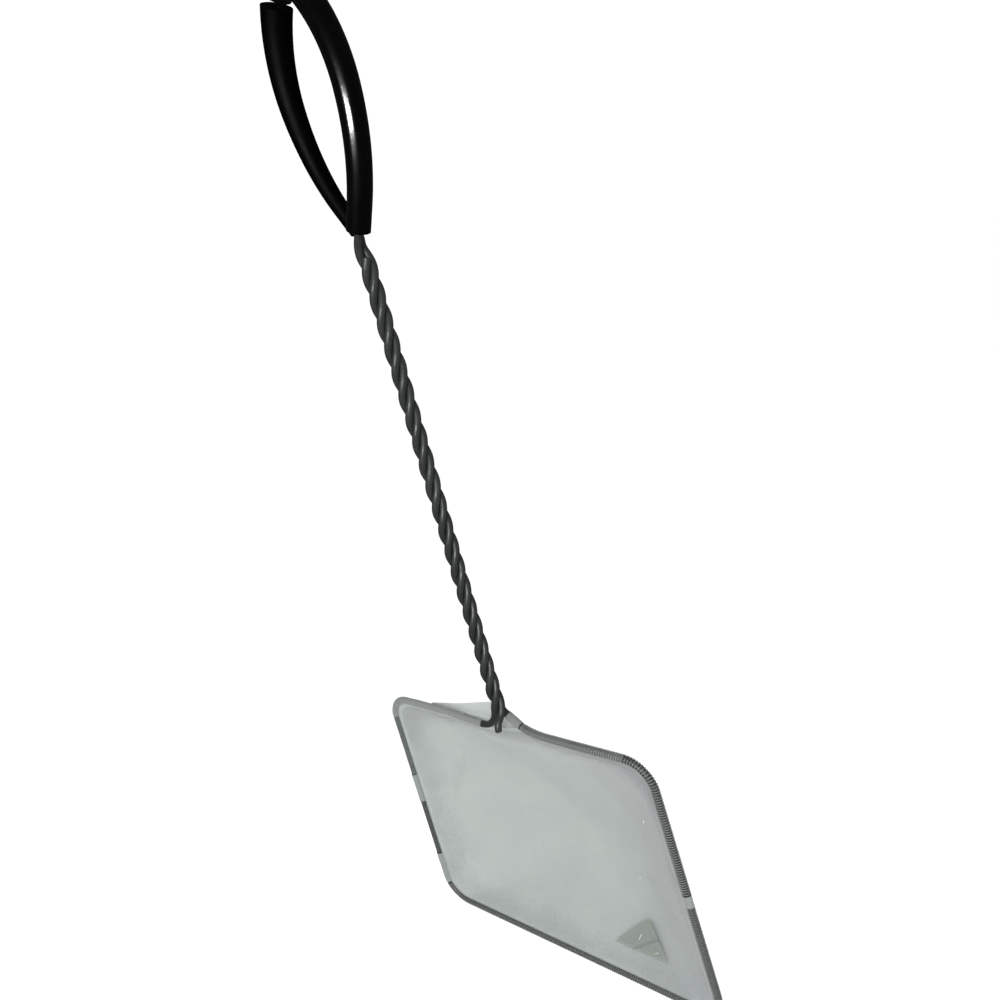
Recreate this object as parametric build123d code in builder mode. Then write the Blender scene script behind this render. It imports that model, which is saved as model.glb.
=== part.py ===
"""Aquarium hand net that hangs by its loop: wire hoop, twisted handle, sleeved loop and a shallow mesh bag.

The origin is the hang point, on the inside of the loop's top.
+Z runs up the handle, +X to the right of someone who looks into the mouth, and the bag hangs towards +Y.
"""
import os
from math import cos, degrees, pi, radians, sin, sqrt

from build123d import *

# Wire, in millimetres, with angles in degrees
core_diameter = 1.6
coat_bore_play = 0.05
coat_diameter = 2.5

# Twisted handle
strand_count = 3
strand_gap = 0.1
twist_pitch = 22.9
twist_turns = 7
biarcs_per_turn = 4
left_strand_angle = 240.0
neck_height = 6.0
filler_tail_drop = 6.5
filler_tail_forward = 4.3
filler_end_setback = 2.0

# Hoop, on the middle line of its wire: as wide as hoop_width at half its height, and wider below
hoop_width = 127.0
hoop_height = 103.0
hoop_left_flare = 3.0
hoop_right_flare = 7.0
hoop_corner_radius = 10.0
leg_height = 8.0
left_leg_reach = 11.0
left_leg_dip = 1.2
right_leg_reach = 8.0
right_leg_rise = 2.6
right_leg_slope = 14.0
right_leg_lean_back = 10.5
shoulder_reach = 32.0

# Loop, measured on the middle line of its wire
loop_top_radius = 6.7
loop_top_turn = 55.0
loop_side_radius = 46.0
loop_lower_radius = 67.0
loop_lower_turn = 27.0
loop_foot_length = 8.0
loop_arm_tilt = 1.9

# Grip sleeves
sleeve_play = 0.1
right_sleeve_foot_diameter = 7.3
right_sleeve_top_diameter = 8.3
left_sleeve_foot_diameter = 4.6
left_sleeve_top_diameter = 9.1
left_sleeve_end_setback = 1.4
sleeve_end_wedge = 8.0
right_wire_end_setback = 2.0
left_wire_end_setback = 4.0

# Hem and side seams of the mesh bag
hem_play = 0.15
hem_diameter = 3.6
seam_diameter = 3.8
seam_end_gap = 0.2
left_seam_drop = 45.0
left_seam_length = 14.0
right_seam_drop = 52.0
right_seam_length = 5.0
seam_strip_width = 4.4
seam_strip_reach = 14.0

# Pouch and the mesh layers on it
hem_to_pouch = 0.2
pouch_depth = 26.0
pouch_wall = 0.8
pouch_sag = 7.0
pouch_roundness = 0.85
pouch_section_shares = (0, 0.3, 0.6, 0.82, 0.95)
layer_gap = 0.15
layer_thickness = 0.5
facing_depth = 7.0
corner_flap_width = 23.4
corner_flap_height = 9.5
corner_flap_inset = 31.4
corner_flap_rise = 7.9
corner_flap_lean = 1.5

# Unfolded hem allowance behind the twist
hem_flap_left = 34.0
hem_flap_right = 8.0
hem_flap_peak_left = 3.0
hem_flap_height = 10.0
hem_flap_right_height = 2.5
hem_flap_foot = 5.0
hem_flap_clearance = 0.6

os.makedirs("parts", exist_ok=True)

# Heights of the loop's stations below its top, and their distances from the middle
side_turn = 90 - loop_top_turn
top_start_across = loop_top_radius * cos(radians(side_turn))
top_start_up = -loop_top_radius * (1 - sin(radians(side_turn)))
widest_across = top_start_across + loop_side_radius * (1 - cos(radians(side_turn)))
widest_up = top_start_up - loop_side_radius * sin(radians(side_turn))
lower_across = widest_across - loop_lower_radius * (1 - cos(radians(loop_lower_turn)))
lower_up = widest_up - loop_lower_radius * sin(radians(loop_lower_turn))
foot_across = lower_across - loop_foot_length * sin(radians(loop_lower_turn))
foot_up = lower_up - loop_foot_length * cos(radians(loop_lower_turn))

# Heights and places down the whole net
apex_z = right_sleeve_top_diameter / 2
twist_top_z = apex_z + foot_up - neck_height
twist_bottom_z = twist_top_z - twist_turns * twist_pitch
hoop_top_z = twist_bottom_z - leg_height
hoop_bottom_z = hoop_top_z - hoop_height
hoop_side_x = hoop_width / 2
left_seam_z = hoop_top_z - left_seam_drop
right_seam_z = hoop_top_z - right_seam_drop
strand_step = 360 / strand_count
right_strand_angle = left_strand_angle - strand_step
filler_angle = right_strand_angle - strand_step


spacing_lag_step = 0.005
spacing_lag_count = 200
radius_rounds = 20


def strand_spacing(radius):
    """Least distance between the middle lines of two neighbouring strands wound at this radius."""
    rise = twist_pitch / (2 * pi)
    distances = []
    for step in range(spacing_lag_count):
        lag = step * spacing_lag_step
        across_squared = 2 * radius**2 * (1 - cos(radians(strand_step) - lag))
        distances.append(sqrt(across_squared + (rise * lag) ** 2))
    return min(distances)


def strand_radius():
    """Radius at which neighbouring strands lie their gap apart."""
    radius = coat_diameter / sqrt(strand_count)
    for _ in range(radius_rounds):
        radius *= (coat_diameter + strand_gap) / strand_spacing(radius)
    return radius


twist_radius = strand_radius()
print(f"least gap between the strands: {strand_spacing(twist_radius) - coat_diameter:.2f} mm")


def strand_point(start_angle, turns):
    """Point on a strand's middle line, so many turns above the foot of the twist."""
    angle = radians(start_angle) + 2 * pi * turns
    height = twist_bottom_z + turns * twist_pitch
    return Vector(twist_radius * cos(angle), twist_radius * sin(angle), height)


def strand_direction(start_angle, turns):
    """Upward direction of a strand at that point."""
    angle = radians(start_angle) + 2 * pi * turns
    rise = twist_pitch / (2 * pi)
    return Vector(-twist_radius * sin(angle), twist_radius * cos(angle), rise).normalized()


def biarc(start, start_direction, end, end_direction):
    """Two arcs that leave start and reach end in the given directions, with one tangent where they meet."""
    chord = end - start
    both = start_direction + end_direction
    slope = chord.dot(both)
    reach = chord.dot(chord) / (slope + sqrt(slope**2 - (both.dot(both) - 4) * chord.dot(chord)))
    first_corner = start + start_direction * reach
    second_corner = end - end_direction * reach
    meeting = (first_corner + second_corner) / 2
    TangentArc(start, meeting, tangent=start_direction)
    TangentArc(meeting, end, tangent=second_corner - first_corner)


def strand_route(start_angle, top_turns):
    """Helix of one strand as a chain of biarcs, going up from the foot of the twist."""
    steps = round(top_turns * biarcs_per_turn)
    stops = [top_turns * step / steps for step in range(steps + 1)]
    for low, high in zip(stops[:-1], stops[1:]):
        biarc(
            strand_point(start_angle, low),
            strand_direction(start_angle, low),
            strand_point(start_angle, high),
            strand_direction(start_angle, high),
        )


left_leg_end = Vector(-left_leg_reach, 0, hoop_top_z - left_leg_dip)
right_leg_end = Vector(right_leg_reach, 0, hoop_top_z + right_leg_rise)
right_leg_direction = Vector(
    -cos(radians(right_leg_slope)) * cos(radians(right_leg_lean_back)),
    sin(radians(right_leg_lean_back)),
    sin(radians(right_leg_slope)) * cos(radians(right_leg_lean_back)),
)
left_shoulder = Vector(-shoulder_reach, 0, hoop_top_z)
right_shoulder = Vector(shoulder_reach, 0, hoop_top_z)
leftwards = Vector(-1, 0, 0)


def left_strand_route():
    """Wire from the hoop's left end up the twist."""
    foot = strand_point(left_strand_angle, 0)
    biarc(left_leg_end, -leftwards, foot, strand_direction(left_strand_angle, 0))
    strand_route(left_strand_angle, twist_turns)


def right_strand_route():
    """Wire from the hoop's right end up the twist."""
    foot = strand_point(right_strand_angle, 0)
    biarc(right_leg_end, right_leg_direction, foot, strand_direction(right_strand_angle, 0))
    strand_route(right_strand_angle, twist_turns)


def filler_route():
    """Filler wire from its free end in front of the hem to its free end under the right sleeve."""
    foot = strand_point(filler_angle, 0)
    tail_end = foot - Vector(0, filler_tail_forward, filler_tail_drop)
    biarc(tail_end, Vector(0, 0, 1), foot, strand_direction(filler_angle, 0))
    strand_route(filler_angle, twist_turns - filler_end_setback / twist_pitch)


def side_across(side, z):
    """Distance of the hoop's left or right side from the middle at a height."""
    flare = hoop_right_flare if side > 0 else hoop_left_flare
    return hoop_side_x + flare * ((hoop_top_z + hoop_bottom_z) / 2 - z) / hoop_height


def side_point(side, z):
    """Point on the hoop's left or right side."""
    return Vector(side * side_across(side, z), 0, z)


def upper_left_route():
    """Hoop from the handle along the top to the left side seam."""
    biarc(left_leg_end, leftwards, left_shoulder, leftwards)
    FilletPolyline(
        left_shoulder,
        side_point(-1, hoop_top_z),
        side_point(-1, left_seam_z + left_seam_length / 2),
        radius=hoop_corner_radius,
    )


def left_seam_route(end_gap=0):
    """Hoop across the left side seam."""
    half = left_seam_length / 2 - end_gap
    Line(side_point(-1, left_seam_z + half), side_point(-1, left_seam_z - half))


def lower_route():
    """Hoop from the left side seam along the bottom to the right side seam."""
    FilletPolyline(
        side_point(-1, left_seam_z - left_seam_length / 2),
        side_point(-1, hoop_bottom_z),
        side_point(1, hoop_bottom_z),
        side_point(1, right_seam_z - right_seam_length / 2),
        radius=hoop_corner_radius,
    )


def right_seam_route(end_gap=0):
    """Hoop across the right side seam."""
    half = right_seam_length / 2 - end_gap
    Line(side_point(1, right_seam_z - half), side_point(1, right_seam_z + half))


def upper_right_route():
    """Hoop from the right side seam along the top to the handle."""
    FilletPolyline(
        side_point(1, right_seam_z + right_seam_length / 2),
        side_point(1, hoop_top_z),
        right_shoulder,
        radius=hoop_corner_radius,
    )
    biarc(right_shoulder, leftwards, right_leg_end, right_leg_direction)


def hoop_route():
    """The whole hoop, from its left end at the handle round to its right end."""
    upper_left_route()
    left_seam_route()
    lower_route()
    right_seam_route()
    upper_right_route()


def arm_point(side, across, up):
    """Point of a loop arm, in the arm's own plane, which tilts so that the two feet clear each other."""
    tilt = radians(loop_arm_tilt)
    return Vector(side * across, side * up * sin(tilt), apex_z + up * cos(tilt))


def arm_direction(side, lean):
    """Upward direction of a loop arm that leans outwards by so many degrees."""
    tilt = radians(loop_arm_tilt)
    rise = cos(radians(lean))
    return Vector(side * sin(radians(lean)), side * rise * sin(tilt), rise * cos(tilt))


def neck_route(side, strand_angle):
    """Wire from the head of the twist to the foot of a loop arm."""
    biarc(
        strand_point(strand_angle, twist_turns),
        strand_direction(strand_angle, twist_turns),
        arm_point(side, foot_across, foot_up),
        arm_direction(side, loop_lower_turn),
    )


def arm_lower_route(side):
    """Loop arm from its foot to its widest place."""
    lower = arm_point(side, lower_across, lower_up)
    widest = arm_point(side, widest_across, widest_up)
    Line(arm_point(side, foot_across, foot_up), lower)
    TangentArc(lower, widest, tangent=arm_direction(side, loop_lower_turn))


def arm_side_route(side, turn):
    """Loop arm from its widest place round so many degrees towards the top."""
    across = widest_across - loop_side_radius * (1 - cos(radians(turn)))
    up = widest_up + loop_side_radius * sin(radians(turn))
    widest = arm_point(side, widest_across, widest_up)
    TangentArc(widest, arm_point(side, across, up), tangent=arm_direction(side, 0))


def arm_top_route(side, past):
    """Loop arm from its side over the loop's top to so many degrees past it."""
    across = -loop_top_radius * sin(radians(past))
    up = -loop_top_radius * (1 - cos(radians(past)))
    top_start = arm_point(side, top_start_across, top_start_up)
    TangentArc(top_start, arm_point(side, across, up), tangent=arm_direction(side, -side_turn))


right_sleeve_past = loop_top_turn - sleeve_end_wedge
left_sleeve_turn = side_turn - degrees(left_sleeve_end_setback / loop_side_radius)
right_wire_past = right_sleeve_past - degrees(right_wire_end_setback / loop_top_radius)
left_wire_turn = side_turn - degrees(left_wire_end_setback / loop_side_radius)


def right_arm_route():
    """Wire of the right arm, from the left leg's strand over the loop's top."""
    neck_route(1, left_strand_angle)
    arm_lower_route(1)
    arm_side_route(1, side_turn)
    arm_top_route(1, right_wire_past)


def left_arm_route():
    """Wire of the left arm, from the right leg's strand to just below the loop's top."""
    neck_route(-1, right_strand_angle)
    arm_lower_route(-1)
    arm_side_route(-1, left_wire_turn)


def right_sleeve_route():
    """Right sleeve, from the arm's foot over the loop's top."""
    arm_lower_route(1)
    arm_side_route(1, side_turn)
    arm_top_route(1, right_sleeve_past)


def left_sleeve_route():
    """Left sleeve, from the arm's foot to just below the loop's top."""
    arm_lower_route(-1)
    arm_side_route(-1, left_sleeve_turn)


def square_plane(line, share):
    """Plane square to a line at a share of its length."""
    return Plane(origin=line @ share, z_dir=line % share)


# Plastic coat of the wire, length by length: tubes along their routes
coat_routes = {
    "hoop_coat": hoop_route,
    "left_strand_coat": left_strand_route,
    "right_strand_coat": right_strand_route,
    "left_arm_coat": left_arm_route,
    "right_arm_coat": right_arm_route,
    "filler_coat": filler_route,
}
coat_bore = core_diameter + 2 * coat_bore_play
for name, route in coat_routes.items():
    with BuildPart() as coat:
        with BuildLine() as coat_line:
            route()
        with BuildSketch(square_plane(coat_line.wire(), 0)):
            Circle(coat_diameter / 2)
            Circle(coat_bore / 2, mode=Mode.SUBTRACT)
        sweep()
    coat.part.label = name
    export_step(coat.part, f"parts/{name}.step")

# Steel core of the frame wire: one rod from the left arm's end round the hoop to the right arm's end
with BuildPart() as frame_wire_core:
    for route in (left_arm_route, right_strand_route, hoop_route, left_strand_route, right_arm_route):
        with BuildLine() as core_line:
            route()
        with BuildSketch(square_plane(core_line.wire(), 0)):
            Circle(core_diameter / 2)
        sweep()
frame_wire_core.part.label = "frame_wire_core"
export_step(frame_wire_core.part, "parts/frame_wire_core.step")

# Steel core of the filler wire
with BuildPart() as filler_core:
    with BuildLine() as filler_line:
        filler_route()
    with BuildSketch(square_plane(filler_line.wire(), 0)):
        Circle(core_diameter / 2)
    sweep()
filler_core.part.label = "filler_core"
export_step(filler_core.part, "parts/filler_core.step")

# Grip sleeves: soft tubes that swell from the arm's foot to the loop's top, bored for the wire
sleeve_shapes = {
    "right_grip_sleeve": (right_sleeve_route, right_sleeve_foot_diameter, right_sleeve_top_diameter),
    "left_grip_sleeve": (left_sleeve_route, left_sleeve_foot_diameter, left_sleeve_top_diameter),
}
for name, (route, foot_diameter, top_diameter) in sleeve_shapes.items():
    with BuildPart() as sleeve:
        with BuildLine() as sleeve_line:
            route()
        sleeve_path = sleeve_line.wire()
        with BuildSketch(square_plane(sleeve_path, 0)):
            Circle(foot_diameter / 2)
        with BuildSketch(square_plane(sleeve_path, 1)):
            Circle(top_diameter / 2)
        sweep(multisection=True)
        with BuildSketch(square_plane(sleeve_path, 0)):
            Circle(coat_diameter / 2 + sleeve_play)
        sweep(path=sleeve_path, mode=Mode.SUBTRACT)
    sleeve.part.label = name
    export_step(sleeve.part, f"parts/{name}.step")

# Hem of the bag, folded round the hoop in three lengths
hem_routes = {
    "upper_left_hem": upper_left_route,
    "lower_hem": lower_route,
    "upper_right_hem": upper_right_route,
}
hem_bore = coat_diameter + 2 * hem_play
for name, route in hem_routes.items():
    with BuildPart() as hem:
        with BuildLine() as hem_line:
            route()
        with BuildSketch(square_plane(hem_line.wire(), 0)):
            Circle(hem_diameter / 2)
            Circle(hem_bore / 2, mode=Mode.SUBTRACT)
        sweep()
    hem.part.label = name
    export_step(hem.part, f"parts/{name}.step")

# Mouth of the pouch, just inside the hem
rim_inset = hem_diameter / 2 + hem_to_pouch
rim_top_z = hoop_top_z - left_leg_dip - rim_inset
rim_bottom_z = hoop_bottom_z + rim_inset
rim_half_height = (rim_top_z - rim_bottom_z) / 2
rim_middle_z = (rim_top_z + rim_bottom_z) / 2
rim_corner_radius = hoop_corner_radius - rim_inset
rim_corners = ((-1, -1), (1, -1), (1, 1), (-1, 1))


def pouch_form(grow):
    """Solid dish of the pouch, larger all round by so much: a parabola in both directions that sags."""
    with BuildPart() as form:
        for share in pouch_section_shares:
            narrowing = sqrt(1 - share)
            half_height = rim_half_height * narrowing + grow
            corner = rim_corner_radius * (1 - share) + pouch_roundness * half_height * share
            points = []
            for side, level in rim_corners:
                rim_across = side_across(side, rim_middle_z + level * rim_half_height) - rim_inset
                section_z = rim_middle_z - pouch_sag * share + level * half_height
                points.append((side * (rim_across * narrowing + grow), section_z))
            with BuildSketch(Plane.XZ.offset(-share * (pouch_depth + grow))) as section:
                with BuildLine():
                    Polyline(*points, close=True)
                make_face()
                fillet(section.vertices(), corner)
        loft()
    return form.part


facing_outside = -pouch_wall - layer_gap
flap_outside = facing_outside - layer_thickness - layer_gap
pouch_outer = pouch_form(0)
pouch_inner = pouch_form(-pouch_wall)
facing_outer = pouch_form(facing_outside)
facing_inner = pouch_form(facing_outside - layer_thickness)
flap_outer = pouch_form(flap_outside)
flap_inner = pouch_form(flap_outside - layer_thickness)
strip_inner = pouch_form(layer_gap)
strip_outer = pouch_form(layer_gap + layer_thickness)

# Pouch: a shell that is open at the mouth
with BuildPart() as net_pouch:
    add(pouch_outer)
    add(pouch_inner, mode=Mode.SUBTRACT)
net_pouch.part.label = "net_pouch"
export_step(net_pouch.part, "parts/net_pouch.step")

# Hem allowance folded into the mouth
with BuildPart() as hem_facing:
    add(facing_outer)
    add(facing_inner, mode=Mode.SUBTRACT)
    split(bisect_by=Plane.XZ.offset(-facing_depth), keep=Keep.TOP)
hem_facing.part.label = "hem_facing"
export_step(hem_facing.part, "parts/hem_facing.step")

# Bottom corner of the bag, turned over inside: a triangle of mesh
corner_flap_across = hoop_side_x - corner_flap_inset
corner_flap_foot_z = hoop_bottom_z + corner_flap_rise
with BuildPart() as corner_flap:
    add(flap_outer)
    add(flap_inner, mode=Mode.SUBTRACT)
    with BuildSketch(Plane.XZ):
        with BuildLine():
            Polyline(
                (corner_flap_across - corner_flap_width / 2, corner_flap_foot_z),
                (corner_flap_across + corner_flap_width / 2, corner_flap_foot_z),
                (corner_flap_across + corner_flap_lean, corner_flap_foot_z + corner_flap_height),
                close=True,
            )
        make_face()
    extrude(amount=-pouch_depth, mode=Mode.INTERSECT)
corner_flap.part.label = "corner_flap"
export_step(corner_flap.part, "parts/corner_flap.step")

# Side seams: a sewn strip down the outside of the pouch, ending in a sleeve of mesh round the wire
seam_shapes = {
    "left_side_seam": (-1, left_seam_z, left_seam_route),
    "right_side_seam": (1, right_seam_z, right_seam_route),
}
for name, (side, seam_z, route) in seam_shapes.items():
    with BuildPart() as seam:
        add(strip_outer)
        add(strip_inner, mode=Mode.SUBTRACT)
        strip_middle = side * (side_across(side, seam_z) - seam_strip_reach / 2)
        with Locations((strip_middle, pouch_depth / 2, seam_z)):
            Box(seam_strip_reach, pouch_depth, seam_strip_width, mode=Mode.INTERSECT)
        with BuildLine() as seam_line:
            route(seam_end_gap)
        seam_path = seam_line.wire()
        with BuildSketch(square_plane(seam_path, 0)):
            Circle(seam_diameter / 2)
        sweep()
        with BuildSketch(square_plane(seam_path, 0)):
            Circle(hem_bore / 2)
        sweep(path=seam_path, mode=Mode.SUBTRACT)
    seam.part.label = name
    export_step(seam.part, f"parts/{name}.step")

# Hem allowance that stays unfolded behind the twist, drawn up to a peak at the handle
hem_flap_back = twist_radius + coat_diameter / 2 + hem_flap_clearance
with BuildPart() as hem_flap:
    with BuildSketch(Plane.XZ.offset(-hem_flap_back)):
        with BuildLine():
            Polyline(
                (-hem_flap_peak_left, hoop_top_z + hem_flap_height),
                (hem_flap_right, hoop_top_z + hem_flap_right_height),
                (hem_flap_right, hoop_top_z - hem_flap_foot),
                (-hem_flap_left, hoop_top_z - hem_flap_foot),
                (-hem_flap_left, hoop_top_z),
                close=True,
            )
        make_face()
    extrude(amount=-layer_thickness)
hem_flap.part.label = "hem_flap"
export_step(hem_flap.part, "parts/hem_flap.step")
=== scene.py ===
"""Looks of the aquarium hand net: mesh bag, folded hem, stitches, wire and grip finishes, floor, light and camera."""

import bmesh
import bpy
import numpy as np
from mathutils import Matrix, Vector


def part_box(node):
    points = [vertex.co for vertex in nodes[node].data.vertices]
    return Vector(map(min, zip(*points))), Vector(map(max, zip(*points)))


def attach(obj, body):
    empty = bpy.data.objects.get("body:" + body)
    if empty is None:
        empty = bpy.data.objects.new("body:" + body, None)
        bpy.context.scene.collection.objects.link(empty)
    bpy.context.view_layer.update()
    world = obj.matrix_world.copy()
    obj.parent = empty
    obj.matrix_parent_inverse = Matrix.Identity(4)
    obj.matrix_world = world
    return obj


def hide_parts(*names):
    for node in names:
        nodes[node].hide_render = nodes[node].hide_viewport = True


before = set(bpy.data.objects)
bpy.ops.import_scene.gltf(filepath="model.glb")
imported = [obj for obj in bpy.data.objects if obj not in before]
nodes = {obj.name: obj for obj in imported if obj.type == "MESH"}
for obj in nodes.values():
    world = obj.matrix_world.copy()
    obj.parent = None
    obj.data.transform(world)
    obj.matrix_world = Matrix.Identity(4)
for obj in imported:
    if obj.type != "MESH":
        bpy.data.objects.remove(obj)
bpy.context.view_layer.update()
MM = 0.001

# Small numbers that keep a division or a merge of points safe
least = 1e-6
merge_distance = 1e-7
least_gap = 1e-8
nearly_zero = 1e-12

# Sizes of the wire, the hoop and the bag, repeated from the part
coat_radius = 1.25 * MM
hoop_height = 103 * MM
side_x = 63.5 * MM
hoop_left_flare = 3 * MM
hoop_right_flare = 7 * MM
hoop_corner_radius = 10 * MM
shoulder_reach = 32 * MM
left_leg_reach = 11 * MM
left_leg_dip = 1.2 * MM
right_leg_reach = 8 * MM
right_leg_rise = 2.6 * MM
right_leg_slope = np.radians(14)
right_leg_lean_back = np.radians(10.5)
leg_height = 8 * MM
strand_aside = 0.77 * MM
strand_back = 1.333 * MM
strand_rise_per_radian = 3.645 * MM
left_seam_half = 7 * MM
right_seam_half = 2.5 * MM
seam_strip_reach = 14 * MM
rim_inset = 2.0 * MM
pouch_depth = 26 * MM
pouch_sag = 7 * MM
pouch_roundness = 0.85
facing_depth = 7 * MM
corner_flap_lean = 1.5 * MM

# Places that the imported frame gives, in metres
hoop_low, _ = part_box("hoop_coat")
bottom_z = hoop_low.z + coat_radius
top_z = bottom_z + hoop_height
left_seam_low, left_seam_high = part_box("left_side_seam")
right_seam_low, right_seam_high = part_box("right_side_seam")
left_seam_z = (left_seam_low.z + left_seam_high.z) / 2
right_seam_z = (right_seam_low.z + right_seam_high.z) / 2
_, flap_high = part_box("hem_flap")
corner_low, corner_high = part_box("corner_flap")

# Where the hoop's wire turns into the handle, and which way it runs there
leftwards = np.array([-1.0, 0, 0])
left_shoulder = np.array([-shoulder_reach, 0, top_z])
right_shoulder = np.array([shoulder_reach, 0, top_z])
left_leg_end = np.array([-left_leg_reach, 0, top_z - left_leg_dip])
right_leg_end = np.array([right_leg_reach, 0, top_z + right_leg_rise])
right_leg_direction = np.array(
    [
        -np.cos(right_leg_slope) * np.cos(right_leg_lean_back),
        np.sin(right_leg_lean_back),
        np.sin(right_leg_slope) * np.cos(right_leg_lean_back),
    ]
)
right_strand_foot = np.array([-strand_aside, strand_back, top_z + leg_height])
right_strand_direction = np.array([-strand_back, -strand_aside, strand_rise_per_radian])
right_strand_direction /= np.linalg.norm(right_strand_direction)

# Rim of the bag, just inside the hoop
rim_half_width = side_x - rim_inset
rim_top_z = left_leg_end[2] - rim_inset
rim_bottom_z = bottom_z + rim_inset
rim_half_height = (rim_top_z - rim_bottom_z) / 2
rim_middle_z = (rim_top_z + rim_bottom_z) / 2
rim_corner_radius = hoop_corner_radius - rim_inset
left_spread = hoop_left_flare * rim_half_height / hoop_height / rim_half_width
right_spread = hoop_right_flare * rim_half_height / hoop_height / rim_half_width


def side_across(side, z):
    """Distance of the hoop's left or right side from the middle at a height."""
    flare = hoop_right_flare if side > 0 else hoop_left_flare
    return side_x + flare * ((top_z + bottom_z) / 2 - z) / hoop_height


def side_point(side, z):
    """Point on the hoop's left or right side."""
    return np.array([side * side_across(side, z), 0, z])


def smooth_step(x, low, high):
    """0 below low, 1 above high, and t*t*(3 - 2t) between them."""
    t = np.clip((x - low) / (high - low), 0, 1)
    return t * t * (3 - 2 * t)


# Node helpers


def new_material(name):
    """A material with a Principled shader; returns it with its nodes, links and shader."""
    material = bpy.data.materials.new(name)
    material.use_nodes = True
    tree = material.node_tree
    return material, tree.nodes, tree.links, tree.nodes["Principled BSDF"]


def noise(tree_nodes, links, vector, scale, detail=3.0, roughness=0.55):
    """Noise that reads a vector; returns its factor."""
    node = tree_nodes.new("ShaderNodeTexNoise")
    node.inputs["Scale"].default_value = scale
    node.inputs["Detail"].default_value = detail
    node.inputs["Roughness"].default_value = roughness
    links.new(vector, node.inputs["Vector"])
    return node.outputs["Fac"]


def map_range(tree_nodes, links, value, from_low, from_high, to_low, to_high, smooth=False):
    """The value moved from one range to another."""
    node = tree_nodes.new("ShaderNodeMapRange")
    node.interpolation_type = "SMOOTHSTEP" if smooth else "LINEAR"
    node.inputs["From Min"].default_value = from_low
    node.inputs["From Max"].default_value = from_high
    node.inputs["To Min"].default_value = to_low
    node.inputs["To Max"].default_value = to_high
    links.new(value, node.inputs["Value"])
    return node.outputs["Result"]


def math_node(tree_nodes, links, operation, first, second):
    """One step of arithmetic on two values, each a socket or a number."""
    node = tree_nodes.new("ShaderNodeMath")
    node.operation = operation
    for place, value in enumerate((first, second)):
        if isinstance(value, (int, float)):
            node.inputs[place].default_value = value
        else:
            links.new(value, node.inputs[place])
    return node.outputs["Value"]


def two_colours(tree_nodes, links, factor, first, second):
    """Colour that goes from first to second with a factor."""
    node = tree_nodes.new("ShaderNodeMix")
    node.data_type = "RGBA"
    links.new(factor, node.inputs["Factor"])
    node.inputs["A"].default_value = (*first, 1)
    node.inputs["B"].default_value = (*second, 1)
    return node.outputs["Result"]


def bump(tree_nodes, links, shader, height, strength, distance):
    """Height that bends the shader's normals."""
    node = tree_nodes.new("ShaderNodeBump")
    node.inputs["Strength"].default_value = strength
    node.inputs["Distance"].default_value = distance
    links.new(height, node.inputs["Height"])
    links.new(node.outputs["Normal"], shader.inputs["Normal"])


# Finishes of the wire, the grip and the thread. Most of a noise's values lie in noise_range.

noise_range = (0.3, 0.7)
plastic_cloud_scale = 60
plastic_grain_strength = 0.35
plastic_coat_roughness = 0.2
steel_scratch_scale = 2500
steel_dark, steel_light = (0.40, 0.41, 0.42), (0.62, 0.63, 0.64)
steel_roughness = (0.28, 0.45)
thread_fibre_scale = 3500
thread_fibre_strength = 0.4
thread_fibre_height = 0.05 * MM
thread_roughness = 0.7
thread_sheen = 0.2


def moulded_plastic(name, dark, light, roughness, grain_scale, grain_depth, gloss, coat):
    """Plastic skin: cloudy colour, uneven gloss and a fine grain, all on Object coordinates."""
    material, tree_nodes, links, shader = new_material(name)
    place = tree_nodes.new("ShaderNodeTexCoord").outputs["Object"]
    cloud = noise(tree_nodes, links, place, plastic_cloud_scale)
    grain = noise(tree_nodes, links, place, grain_scale, detail=4.0)
    links.new(two_colours(tree_nodes, links, cloud, dark, light), shader.inputs["Base Color"])
    links.new(map_range(tree_nodes, links, grain, *noise_range, *roughness), shader.inputs["Roughness"])
    shader.inputs["Specular IOR Level"].default_value = gloss
    shader.inputs["Coat Weight"].default_value = coat
    shader.inputs["Coat Roughness"].default_value = plastic_coat_roughness
    bump(tree_nodes, links, shader, grain, plastic_grain_strength, grain_depth)
    return material


def drawn_steel(name):
    """Bare cut steel: metal with fine scratches."""
    material, tree_nodes, links, shader = new_material(name)
    place = tree_nodes.new("ShaderNodeTexCoord").outputs["Object"]
    scratches = noise(tree_nodes, links, place, steel_scratch_scale, detail=2.0)
    links.new(two_colours(tree_nodes, links, scratches, steel_dark, steel_light), shader.inputs["Base Color"])
    links.new(map_range(tree_nodes, links, scratches, *noise_range, *steel_roughness), shader.inputs["Roughness"])
    shader.inputs["Metallic"].default_value = 1.0
    return material


def sewing_thread(name, shade, bright):
    """Sewing thread with a fine twist."""
    material, tree_nodes, links, shader = new_material(name)
    place = tree_nodes.new("ShaderNodeTexCoord").outputs["Object"]
    fibre = noise(tree_nodes, links, place, thread_fibre_scale, detail=2.0)
    links.new(two_colours(tree_nodes, links, fibre, shade, bright), shader.inputs["Base Color"])
    shader.inputs["Roughness"].default_value = thread_roughness
    shader.inputs["Sheen Weight"].default_value = thread_sheen
    bump(tree_nodes, links, shader, fibre, thread_fibre_strength, thread_fibre_height)
    return material


# Weave of the mesh: the width of a thread is given as shares of the pitch from one thread to the next

mesh_pitch = 0.7 * MM
dense_pitch = 0.6 * MM
thread_crown, thread_edge = 0.16, 0.30
weave_height = 0.12 * MM
weave_strength = 0.3
cloth_cloud_scale = 45
cloth_slub_scale = 900
cloud_share = 0.75
cloth_roughness = (0.55, 0.8)
cloth_gloss = 0.15
cloth_sheen = 0.15
cloth_sheen_roughness = 0.4

# Painted shade: the bag gets darker between two places across the mouth, towards +X, standing in for the shade on its
# right wall
painted_shade_start_x, painted_shade_end_x, painted_shade_amount = 12 * MM, 58 * MM, 0.6

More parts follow.
